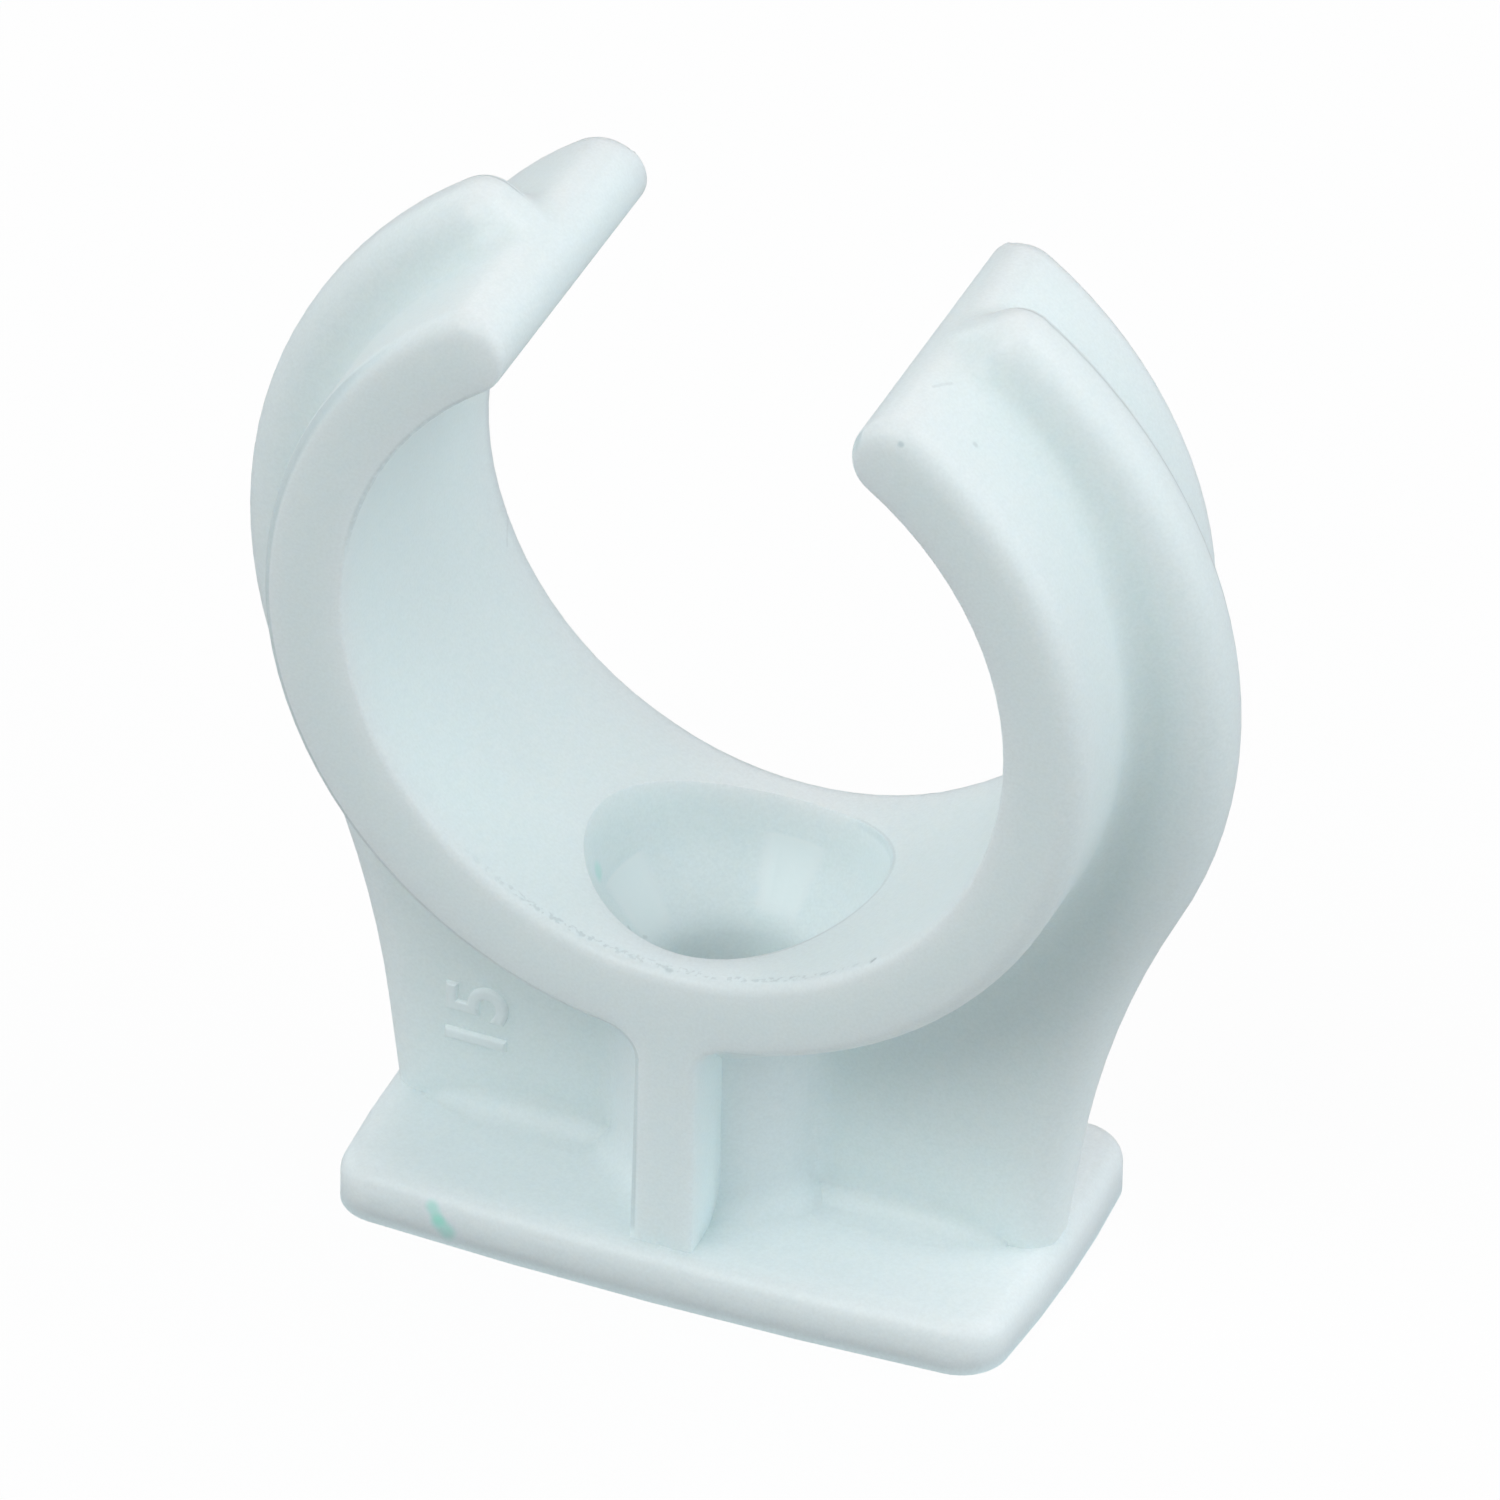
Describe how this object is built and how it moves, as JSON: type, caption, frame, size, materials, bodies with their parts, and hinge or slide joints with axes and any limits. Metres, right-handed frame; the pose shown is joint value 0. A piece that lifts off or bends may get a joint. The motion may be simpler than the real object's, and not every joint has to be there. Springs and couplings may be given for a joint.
{
  "type": "pipe clip",
  "caption": "Open snap-in clip that holds a pipe off a wall: ribbed ring with a wide mouth, web, gussets, countersunk screw well and rectangular foot.",
  "frame": {"origin": "middle of the foot's underside, on the screw hole's axis", "axes": "+Z away from the wall, +Y along the pipe, +X across the pipe"},
  "size_m": [0.0224, 0.0088, 0.0243],
  "materials": {
    "plastic": "satin, slightly translucent"
  },
  "bodies": {
    "root": {"pipe_clip": "plastic"}
  },
  "joints": []
}
